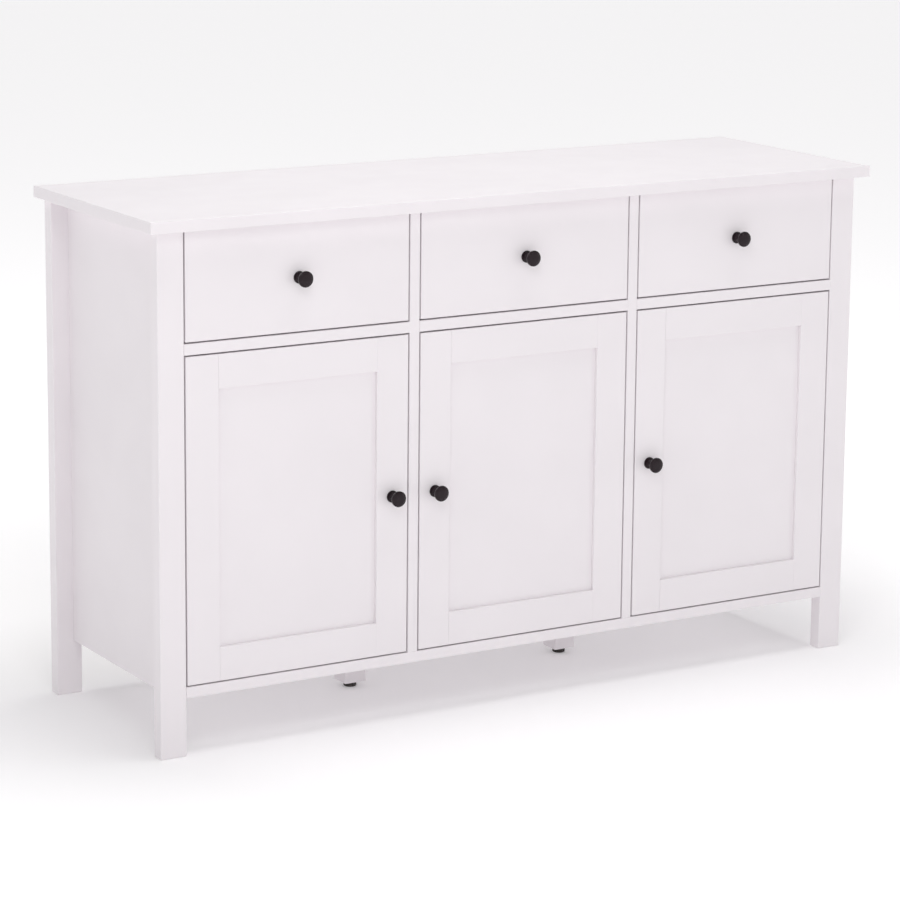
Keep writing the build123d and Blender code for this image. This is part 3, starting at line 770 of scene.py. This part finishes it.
class SIDEBOARD_OT_knobs(bpy.types.Operator):
    """Turned black knobs with a bevelled head, and the machine screws that hold them"""

    bl_idname = "sideboard.knobs"
    bl_label = "Knobs"

    def execute(self, context):
        for body in FRONT_BODIES:
            kind, bay = body.split("_")
            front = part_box(("door_stiles_" if kind == "door" else "drawer_front_") + bay)
            self.knob(body, kind + "_knob_" + bay, front)
        return {"FINISHED"}

    def knob(self, body, node, front):
        """A knob whose base stands on the front's face, with its screw's head at the back."""
        face_y, back_y = front[0].y, front[1].y
        low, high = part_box(node)
        seat = middle((low, high))
        seat.y = face_y
        shape = bmesh.new()
        profile = self.profile(face_y - low.y, (high.x - low.x) / 2)
        segments = settings("sideboard_knobs").segments
        lathe(shape, profile, facing(seat, FORWARDS), segments)
        name = "knob_" + body
        piece(name, close(shape, name, 30), baked_black(), body, (node,))
        seat.y = back_y
        screw = fitting_sizes(
            head=(4.0 * MM, high.y - back_y, 0.8 * MM), stem=(2.0 * MM, 10.0 * MM),
            recess=(settings("sideboard_fittings").recess, 4.4 * MM, 1.4 * MM),
        )
        fittings("knob_screw_" + body, [(seat, BACKWARDS)], screw, zinc_plate(), body)

    def profile(self, total, head):
        """A turned outline: a round base, a waisted neck, a rim with bevels and a low dome."""
        sizes = settings("sideboard_knobs")
        base, neck, bevel = sizes.base_radius, sizes.neck_radius, sizes.bevel
        base_edge, base_round = 1.4 * MM, 0.8 * MM
        shoulder, shoulder_level = 2.4 * MM, 2.5 * MM
        foot, foot_level = 1.4 * MM, 3.2 * MM
        neck_low, neck_flare, waist_share, swell = 3.6 * MM, 1.3 * MM, 0.31, 2.3
        dome_height, under_rim, rim_edge = 1.9 * MM, 0.25 * MM, 0.2 * MM
        ledge_inset, groove, groove_rise = 0.6 * MM, 0.5 * MM, 0.1 * MM
        dome_inset, dome_sink = 0.9 * MM, 0.02 * MM
        rim_top = total - dome_height - bevel
        rim_low = rim_top - sizes.rim
        points = [(0.0, 0.0), (base, 0.0), (base, base_edge)]
        points += arc((base - base_round, base_edge), base_round, 0, 90, 4)[1:]
        points += [(base - shoulder, shoulder_level), (neck + foot, foot_level)]
        steps = 18
        for step in range(steps + 1):
            share = step / steps
            waist = math.sin(math.pi / 2 * min(share / waist_share, 1.0))
            spread = max(0.0, (share - waist_share) / (1 - waist_share))
            radius = neck + neck_flare * (1 - waist) + (head - bevel - neck) * spread**swell
            points.append((radius, neck_low + (rim_low - bevel - neck_low) * share))
        points += [(head - under_rim, rim_low - under_rim), (head, rim_low + rim_edge)]
        points += [(head, rim_top - rim_edge), (head - rim_edge, rim_top)]
        ledge = head - bevel - ledge_inset
        ledge_level = rim_top + bevel
        points += [(ledge, ledge_level), (ledge - groove, ledge_level + groove_rise)]
        dome, dome_low = ledge - dome_inset, ledge_level + dome_sink
        steps = 10
        for step in range(steps):
            angle = step / steps * math.pi / 2
            rise = (total - dome_low) * math.sin(angle)
            points.append((dome * math.cos(angle), dome_low + rise))
        return [*points, (0.0, total)]


class SIDEBOARD_OT_hinges(bpy.types.Operator):
    """Concealed cup hinges: pressed cups on the doors, arms and cross plates in the cupboards"""

    bl_idname = "sideboard.hinges"
    bl_label = "Cup hinges"

    def execute(self, context):
        for bay in BAYS:
            self.cups("door_" + bay, bay)
        self.plates_and_arms()
        return {"FINISHED"}

    def cups(self, body, bay):
        """The cups of one door, each with two ears, two links and the links' pivot."""
        node = "hinge_cups_" + bay
        sizes = settings("sideboard_hinges")
        door_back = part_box("door_stiles_" + bay)[1].y
        hinged = 1 if middle(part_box("door_knob_" + bay)).x < middle(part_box(node)).x else -1
        shape = bmesh.new()
        screws = []
        for low, high in islands(node):
            centre = middle((low, high))
            centre.y = door_back
            self.cup(shape, centre, door_back - low.y, sizes)
            ear = (high.z - low.z) / 2
            ear_face = sizes.flange * 0.92
            for way in (-1, 1):
                self.ear(shape, centre, way, ear, ear_face, sizes)
                screws.append(
                    (centre + Vector((0, ear_face, way * (ear - sizes.ear_inset))), BACKWARDS)
                )
            self.links(shape, centre, hinged, door_back - low.y, high.y, sizes)
        name = "cups_" + body
        piece(name, close(shape, name, 30), nickel_plate(), body, (node,))
        fittings("cup_screws_" + body, screws, hinge_screw(), nickel_plate(), body)

    def cup(self, shape, centre, depth, sizes):
        """A pressed cup with a rounded bottom and a flange round its mouth."""
        cup, lip = sizes.cup_radius, sizes.flange
        inside, rim = cup - 1.0 * MM, cup + 1.3 * MM
        bottom_bend, rim_bend, mouth_bend = 1.5 * MM, 0.4 * MM, 0.6 * MM
        floor, floor_bend = -depth + 1.0 * MM, 1.4 * MM
        floor_rise = 0.2 * MM
        profile = [(0.0, -depth), (cup - bottom_bend, -depth), (cup, -depth + bottom_bend)]
        profile += [(cup, 0.0), (rim, 0.0), (rim, lip * 0.7), (rim - rim_bend, lip)]
        profile += [(inside + mouth_bend, lip), (inside, lip - mouth_bend)]
        profile += [(inside, floor + floor_rise + floor_bend)]
        profile += [(inside - floor_bend, floor + floor_rise), (0.0, floor)]
        lathe(shape, profile, facing(centre, BACKWARDS), 64)

    def ear(self, shape, centre, way, reach, face, sizes):
        """One ear of the flange, above or below the cup, with its corners cut."""
        half = sizes.ear_width / 2
        overlap, corner, lift = 2.0 * MM, 4.0 * MM, 0.02 * MM
        start, end = way * (sizes.cup_radius - overlap), way * reach
        outline = [(-half, start), (half, start), (half, end - way * corner)]
        outline += [(half - corner, end), (-half + corner, end), (-half, end - way * corner)]
        plate(shape, outline, lift, face, facing(centre, BACKWARDS), 0.25 * MM)

    def links(self, shape, centre, hinged, depth, reach, sizes):
        """Two tapered links side by side, from inside the cup to the pivot behind the door."""
        half, taper, thickness, clear = 3.2 * MM, 0.7, 2.6 * MM, 0.1 * MM
        start, end = -depth + 1.2 * MM, reach - centre.y
        x = centre.x - hinged * 5.0 * MM
        outline = [(start, -half), (end, -half * taper), (end, half * taper), (start, half)]
        lying = Matrix(((0, 1, 0, 0), (1, 0, 0, 0), (0, 0, 1, 0), (0, 0, 0, 1)))
        for way in (-1, 1):
            z = centre.z + way * (sizes.link_gap / 2 + thickness / 2 + clear)
            place = Matrix.Translation(Vector((x, centre.y, z))) @ lying
            plate(shape, outline, -thickness / 2, thickness / 2, place, 0.4 * MM)
        pivot = Vector((x, reach - 2.6 * MM, centre.z))
        self.pin(shape, pivot, 1.6 * MM, 5.6 * MM)

    def pin(self, shape, centre, radius, half):
        """An upright pin of a hinge."""
        profile = [(0.0, -half), (radius, -half), (radius, half), (0.0, half)]
        lathe(shape, profile, facing(centre, UP, BACKWARDS), 20)

    def plates_and_arms(self):
        """The cross plates on the walls and the arms on them, with their screws."""
        plates, arms = bmesh.new(), bmesh.new()
        plate_screws, arm_screws = [], []
        near_x, near_z = 20.0 * MM, 30.0 * MM
        plate_shift, screw_inset = 3.0 * MM, 6.5 * MM
        arm_boxes = islands("hinge_arms")
        for low, high in islands("hinge_plates"):
            centre = middle((low, high))
            own = [
                pair for pair in arm_boxes
                if abs(middle(pair).x - centre.x) < near_x
                and abs(middle(pair).z - centre.z) < near_z
            ]
            inward = 1 if middle(own[0]).x > centre.x else -1
            wall = low.x if inward > 0 else high.x
            half_size, thickness = (high - low) / 2, high.x - low.x
            aim = Vector((inward, 0, 0))
            place = facing(Vector((wall, centre.y - plate_shift, centre.z)), aim)
            self.cross_plate(plates, place, half_size, thickness)
            for way in (-1, 1):
                seat = place @ Vector((0, way * (half_size.z - screw_inset), thickness))
                plate_screws.append((seat, aim))
            arm_screws += [(seat, aim) for seat in self.arm(arms, own, inward)]
        steel = nickel_plate()
        name = "hinge_cross_plates"
        piece(name, close(plates, name, 30), steel, "carcass", ("hinge_plates",))
        name = "hinge_long_arms"
        piece(name, close(arms, name, 30), steel, "carcass", ("hinge_arms",))
        fittings("plate_screws", plate_screws, hinge_screw(), steel, "carcass")
        fittings("arm_screws", arm_screws, hinge_screw(), steel, "carcass")

    def cross_plate(self, shape, place, half_size, thickness):
        """A pressed cross: an upright bar with its corners cut and a tongue under the arm."""
        half, corner, tongue_half, bend = 7.0 * MM, 4.0 * MM, 7.5 * MM, 0.5 * MM
        tall, long = half_size.z, half_size.y
        bar = [(-half, -tall + corner), (-half + corner, -tall), (half - corner, -tall)]
        bar += [(half, -tall + corner), (half, tall - corner), (half - corner, tall)]
        bar += [(-half + corner, tall), (-half, tall - corner)]
        plate(shape, bar, 0.0, thickness, place, bend)
        tongue = [(-long, -tongue_half), (long, -tongue_half)]
        tongue += [(long, tongue_half), (-long, tongue_half)]
        plate(shape, tongue, 0.0, thickness * 0.96, place, bend)

    def arm(self, shape, own, inward):
        """A folded channel with two side walls and a nose for the links. Gives its screws' seats."""
        low = Vector([min(pair[0][i] for pair in own) for i in range(3)])
        high = Vector([max(pair[1][i] for pair in own) for i in range(3)])
        base = low.x if inward > 0 else high.x
        reach = high.x - low.x
        rise, half, z = reach * 0.62, (high.z - low.z) / 2, (low.z + high.z) / 2
        sheet, bend, fold = 1.3 * MM, 0.3 * MM, 0.2 * MM
        nose_length, nose_overlap, nose_inset = 16.0 * MM, 6.0 * MM, 3.0 * MM
        corner, wall_short = 3.0 * MM, 4.0 * MM
        start = low.y + nose_length
        stand = Matrix.Translation(Vector((base, 0, z))) @ Matrix(
            ((0, 0, inward, 0), (1, 0, 0, 0), (0, inward, 0, 0), (0, 0, 0, 1))
        )
        top = [(start, -half), (high.y - corner, -half), (high.y, -half + corner)]
        top += [(high.y, half - corner), (high.y - corner, half), (start, half)]
        plate(shape, top, rise - sheet, rise, stand, 0.4 * MM)
        wall_end = high.y - wall_short
        for way in (-1, 1):
            outer, inner = way * half, way * (half - sheet)
            wall = [(start, outer), (wall_end, outer), (wall_end, inner), (start, inner)]
            plate(shape, wall, bend, rise - fold, stand, bend)
            nose_end = start + nose_overlap
            nose = [(low.y, 0.0), (nose_end, 0.0), (nose_end, sheet), (low.y, sheet)]
            cheek = stand @ Matrix.Translation(Vector((0, way * (half - nose_inset), 0)))
            plate(shape, nose, rise * 0.5, reach, cheek, bend)
        pin_place = Vector((base + inward * reach * 0.78, low.y + 3.0 * MM, z))
        self.pin(shape, pin_place, 1.5 * MM, half - 1.0 * MM)
        return [
            Vector((base + inward * rise, start + (high.y - start) * share, z))
            for share in (0.35, 0.75)
        ]


class SIDEBOARD_OT_fittings(bpy.types.Operator):
    """Cam locks, cam bolts, back screws and shelf pins"""

    bl_idname = "sideboard.fittings"
    bl_label = "Cams, screws and shelf pins"

    def execute(self, context):
        sizes = settings("sideboard_fittings")
        self.cam_locks(sizes)
        self.back_screws(sizes)
        self.shelf_pins(sizes)
        coat(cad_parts["cam_bolts"], zinc_plate())
        return {"FINISHED"}

    def cam_locks(self, sizes):
        """Each cam's head lies in the face of its board and its body in the hole below."""
        points = []
        head_height, sunk = 2.9 * MM, 3.0 * MM
        for low, high in islands("cam_locks"):
            depths = high - low
            axis = min(range(3), key=lambda i: depths[i])
            seat = middle((low, high))
            end = self.open_end(low, high, axis)
            aim = Vector((0, 0, 0))
            aim[axis] = end
            seat[axis] = (high if end > 0 else low)[axis] - end * sunk
            points.append((seat, aim))
        low, high = islands("cam_locks")[0]
        radius = sizes.cam_radius
        cam = fitting_sizes(
            head=(radius, head_height, 0.7 * MM),
            stem=(radius * 0.8, min(high - low) - sunk - 0.2 * MM),
            recess=(1.7 * MM, radius * 1.15, 1.8 * MM),
        )
        zinc = zinc_plate()
        fittings("cams", points, cam, zinc, "carcass", ("cam_locks",), segments=32)

    def open_end(self, low, high, axis):
        """+1 or -1: the end of a cam that lies in the face of its board."""
        centre = middle((low, high))
        slack = 0.1 * MM
        for board_low, board_high in (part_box(node) for node in LACQUERED):
            if all(board_low[i] - slack <= centre[i] <= board_high[i] + slack for i in range(3)):
                to_high = abs(board_high[axis] - high[axis])
                to_low = abs(low[axis] - board_low[axis])
                return 1 if to_high < to_low else -1
        raise RuntimeError("a cam lock lies in no board")

    def back_screws(self, sizes):
        points = []
        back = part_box("back_panels")[1].y
        for pair in islands("back_screws"):
            seat = middle(pair)
            seat.y = back
            points.append((seat, BACKWARDS))
        screw = fitting_sizes(
            head=(sizes.screw_radius, sizes.screw_height, 0.7 * MM), stem=(1.5 * MM, 13.0 * MM),
            recess=(sizes.recess, sizes.screw_radius * 1.3, 0.8 * MM),
        )
        zinc = zinc_plate()
        fittings("panel_screws", points, screw, zinc, "carcass", ("back_screws",))

    def shelf_pins(self, sizes):
        points = []
        boxes = islands("shelf_pins")
        for pair in boxes:
            seat = middle(pair)
            seat.x, inward = nearest_wall(seat)
            points.append((seat, Vector((inward, 0, 0))))
        low, high = boxes[0]
        head = 8.0 * MM
        pin = fitting_sizes(
            head=(sizes.pin_radius, head, 0.8 * MM), stem=(2.4 * MM, high.x - low.x - head),
            recess=(0.6 * MM, 3.0 * MM, 0.4 * MM),
        )
        nickel = nickel_plate()
        fittings("pins", points, pin, nickel, "carcass", ("shelf_pins",))


class SIDEBOARD_OT_feet(bpy.types.Operator):
    """Ribbed plastic screw feet under the centre legs"""

    bl_idname = "sideboard.feet"
    bl_label = "Centre feet"

    def execute(self, context):
        shape = bmesh.new()
        for low, high in islands("centre_feet"):
            centre = middle((low, high))
            centre.z = low.z
            self.foot(shape, centre, (high.x - low.x) / 2, high.z)
        name = "ribbed_feet"
        feet = close(shape, name, 25)
        piece(name, feet, moulded_plastic(), "carcass", ("centre_feet",))
        return {"FINISHED"}

    def foot(self, shape, at, radius, top):
        """A foot with a bevelled pad and ribs round its rim, and its stem up in the leg."""
        leg_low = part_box("centre_leg_left")[0].z
        pad, stem, tip = 1.0 * MM, 4.0 * MM, 3.0 * MM
        rim_top, shoulder, neck = 2.2 * MM, 0.8 * MM, 1.2 * MM
        rib_depth, rim_band = 0.6 * MM, 0.2 * MM
        steps_per_rib = 4
        around = settings("sideboard_fittings").foot_ribs * steps_per_rib
        profile = [(0.0, 0.0), (radius - pad, 0.0), (radius, pad), (radius, leg_low - rim_top)]
        profile += [(radius - shoulder, leg_low - neck), (radius - neck, leg_low)]
        profile += [(stem, leg_low), (stem, top - pad), (tip, top), (0.0, top)]
        before = len(shape.verts)
        lathe(shape, profile, Matrix.Translation(at), around)
        shape.verts.ensure_lookup_table()
        for vert in shape.verts[before:]:
            flat = Vector((vert.co.x - at.x, vert.co.y - at.y))
            step = round(math.atan2(flat.y, flat.x) / (2 * math.pi) * around)
            if flat.length > radius - rim_band and step % steps_per_rib in (2, 3):
                vert.co.x = at.x + flat.x * (1 - rib_depth / radius)
                vert.co.y = at.y + flat.y * (1 - rib_depth / radius)


class SIDEBOARD_OT_stage(bpy.types.Operator):
    """Pale floor, soft light all round, a light above, a main light, a key light and the camera"""

    bl_idname = "sideboard.stage"
    bl_label = "Stage"

    def execute(self, context):
        stage = settings("sideboard_stage")
        context.scene.view_settings.view_transform = "Standard"
        self.floor(stage)
        self.surroundings(context.scene, stage)
        # name, place and size in metres, power in watts
        lamps = (
            ("light_above", (0.2, -0.2, 4.0), 2.4, stage.above),
            ("main_light", (-1.3, -1.9, 2.3), 0.9, stage.main),
            ("key_light", (1.3, -3.0, 2.8), 0.5, stage.key),
        )
        for name, place, size, power in lamps:
            self.lamp(name, Vector(place), size, power)
        self.camera(context.scene, stage)
        return {"FINISHED"}

    def floor(self, stage):
        reach, level = 40.0, -0.5 * MM
        corners = [(-reach, -reach), (reach, -reach), (reach, reach), (-reach, reach)]
        mesh = bpy.data.meshes.new("floor")
        mesh.from_pydata([(x, y, level) for x, y in corners], [], [(0, 1, 2, 3)])
        floor = bpy.data.objects.new("floor", mesh)
        bpy.context.scene.collection.objects.link(floor)
        coat(floor, studio_floor(stage))

    def surroundings(self, scene, stage):
        """White walls near eye level that give way to a darker ceiling."""
        world = bpy.data.worlds.new("studio_white")
        world.use_nodes = True
        tree = world.node_tree
        shade = tree.nodes["Background"]
        shade.inputs["Color"].default_value = STUDIO_WHITE
        direction = add_node(tree, "ShaderNodeTexCoord").outputs["Generated"]
        height = add_node(tree, "ShaderNodeSeparateXYZ", inputs={0: direction}).outputs["Z"]
        fade = add_node(
            tree, "ShaderNodeMapRange",
            inputs={0: height, 1: stage.walls_top, 2: stage.ceiling, 3: stage.walls, 4: stage.sky},
        )
        tree.links.new(fade.outputs[0], shade.inputs["Strength"])
        scene.world = world

    def lamp(self, name, place, size, power):
        """A square soft light aimed at the front of the sideboard."""
        target = Vector((-0.2, -0.2, 0.7))
        light = bpy.data.lights.new(name, "AREA")
        light.shape = "SQUARE"
        light.size = size
        light.energy = power
        lamp = bpy.data.objects.new(name, light)
        lamp.location = place
        lamp.rotation_euler = (target - place).to_track_quat("-Z", "Y").to_euler()
        bpy.context.scene.collection.objects.link(lamp)

    def camera(self, scene, stage):
        lens = bpy.data.cameras.new("camera")
        lens.lens = stage.lens
        lens.sensor_width = 36.0
        lens.shift_y = stage.rise
        camera = bpy.data.objects.new("camera", lens)
        aim = Matrix.Rotation(-stage.turn, 4, "Z")
        aim = aim @ Matrix.Rotation(math.pi / 2 - stage.tilt, 4, "X")
        aim = aim @ Matrix.Rotation(stage.roll, 4, "Z")
        camera.matrix_world = Matrix.Translation(Vector(stage.camera)) @ aim
        scene.collection.objects.link(camera)
        scene.camera = camera


# ------------------------------------------------------------------ panel and registration
OPERATORS = (
    SIDEBOARD_OT_boards, SIDEBOARD_OT_drawer_boxes, SIDEBOARD_OT_guides, SIDEBOARD_OT_knobs,
    SIDEBOARD_OT_hinges, SIDEBOARD_OT_fittings, SIDEBOARD_OT_feet, SIDEBOARD_OT_stage,
)


class SIDEBOARD_PT_panel(bpy.types.Panel):
    """Lists the sideboard's steps and settings"""

    bl_idname = "SIDEBOARD_PT_panel"
    bl_label = "Sideboard"
    bl_space_type = "VIEW_3D"
    bl_region_type = "UI"
    bl_category = "Sideboard"

    def draw(self, context):
        for kind in OPERATORS:
            self.layout.operator(kind.bl_idname)
        for name in SETTINGS:
            group = getattr(context.scene, name)
            for setting in group.bl_rna.properties:
                if setting.identifier not in {"rna_type", "name"}:
                    self.layout.prop(group, setting.identifier)


CLASSES = (*SETTINGS.values(), *OPERATORS, SIDEBOARD_PT_panel)


def register():
    for kind in CLASSES:
        bpy.utils.register_class(kind)
    for name, kind in SETTINGS.items():
        setattr(bpy.types.Scene, name, PointerProperty(type=kind))


def unregister():
    for name in SETTINGS:
        delattr(bpy.types.Scene, name)
    for kind in reversed(CLASSES):
        bpy.utils.unregister_class(kind)


def main():
    register()
    bpy.ops.sideboard.boards()
    bpy.ops.sideboard.drawer_boxes()
    bpy.ops.sideboard.guides()
    bpy.ops.sideboard.knobs()
    bpy.ops.sideboard.hinges()
    bpy.ops.sideboard.fittings()
    bpy.ops.sideboard.feet()
    bpy.ops.sideboard.stage()
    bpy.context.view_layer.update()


if __name__ == "__main__":
    main()
